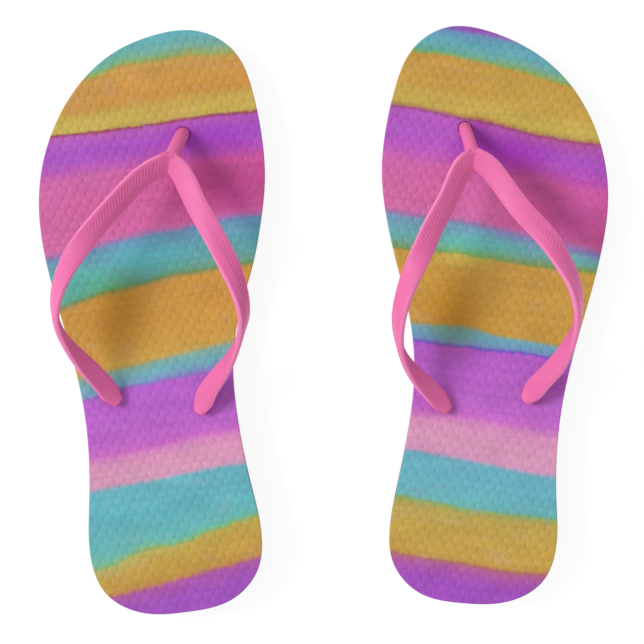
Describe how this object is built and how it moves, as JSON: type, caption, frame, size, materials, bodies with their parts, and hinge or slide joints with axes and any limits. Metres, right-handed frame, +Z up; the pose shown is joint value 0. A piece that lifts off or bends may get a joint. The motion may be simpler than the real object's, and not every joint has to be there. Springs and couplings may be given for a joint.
{
  "type": "flip flops",
  "caption": "Pair of flat rubber flip flops with pebble-textured, colour-banded footbeds, moulded V straps and soles that flex at the ball of the foot.",
  "frame": {"origin": "middle of the pair's footprint, on the floor", "axes": "+X to the wearer's right, +Y towards the toes, +Z up"},
  "size_m": [0.2532, 0.2612, 0.0463],
  "materials": {
    "printed_footbed": "matt printed foam rubber, raised pebble texture, bands of teal, ochre, purple and pink",
    "sole_foam": "matt black closed-cell foam",
    "outsole_rubber": "matt black moulded rubber with fine grooves",
    "strap_rubber": "satin bright pink moulded rubber, ribbed on its front halves"
  },
  "bodies": {
    "left_heel": {"left_footbed_heel": "printed_footbed", "left_midsole_heel": "sole_foam", "left_outsole_heel": "outsole_rubber", "left_strap": "strap_rubber"},
    "left_toe": {"left_footbed_toe": "printed_footbed", "left_midsole_toe": "sole_foam", "left_outsole_toe": "outsole_rubber"},
    "right_heel": {"right_footbed_heel": "printed_footbed", "right_midsole_heel": "sole_foam", "right_outsole_heel": "outsole_rubber", "right_strap": "strap_rubber"},
    "right_toe": {"right_footbed_toe": "printed_footbed", "right_midsole_toe": "sole_foam", "right_outsole_toe": "outsole_rubber"}
  },
  "joints": [
    {"name": "left_flex", "type": "hinge", "parent": "left_heel", "child": "left_toe", "pos_m": [-0.0765, 0.0505, 0.014], "axis": [0.9848, 0.1736, 0], "range_deg": [0, 35], "stiffness_Nm_per_rad": 0.6, "deforming": ["left_strap"]},
    {"name": "right_flex", "type": "hinge", "parent": "right_heel", "child": "right_toe", "pos_m": [0.0765, 0.0505, 0.014], "axis": [0.9848, -0.1736, 0], "range_deg": [0, 35], "stiffness_Nm_per_rad": 0.6, "deforming": ["right_strap"]},
    {"name": "pair_spacing", "type": "slide", "parent": "left_heel", "child": "right_heel", "axis": [1, 0, 0], "range_m": [0, 0.06]}
  ]
}
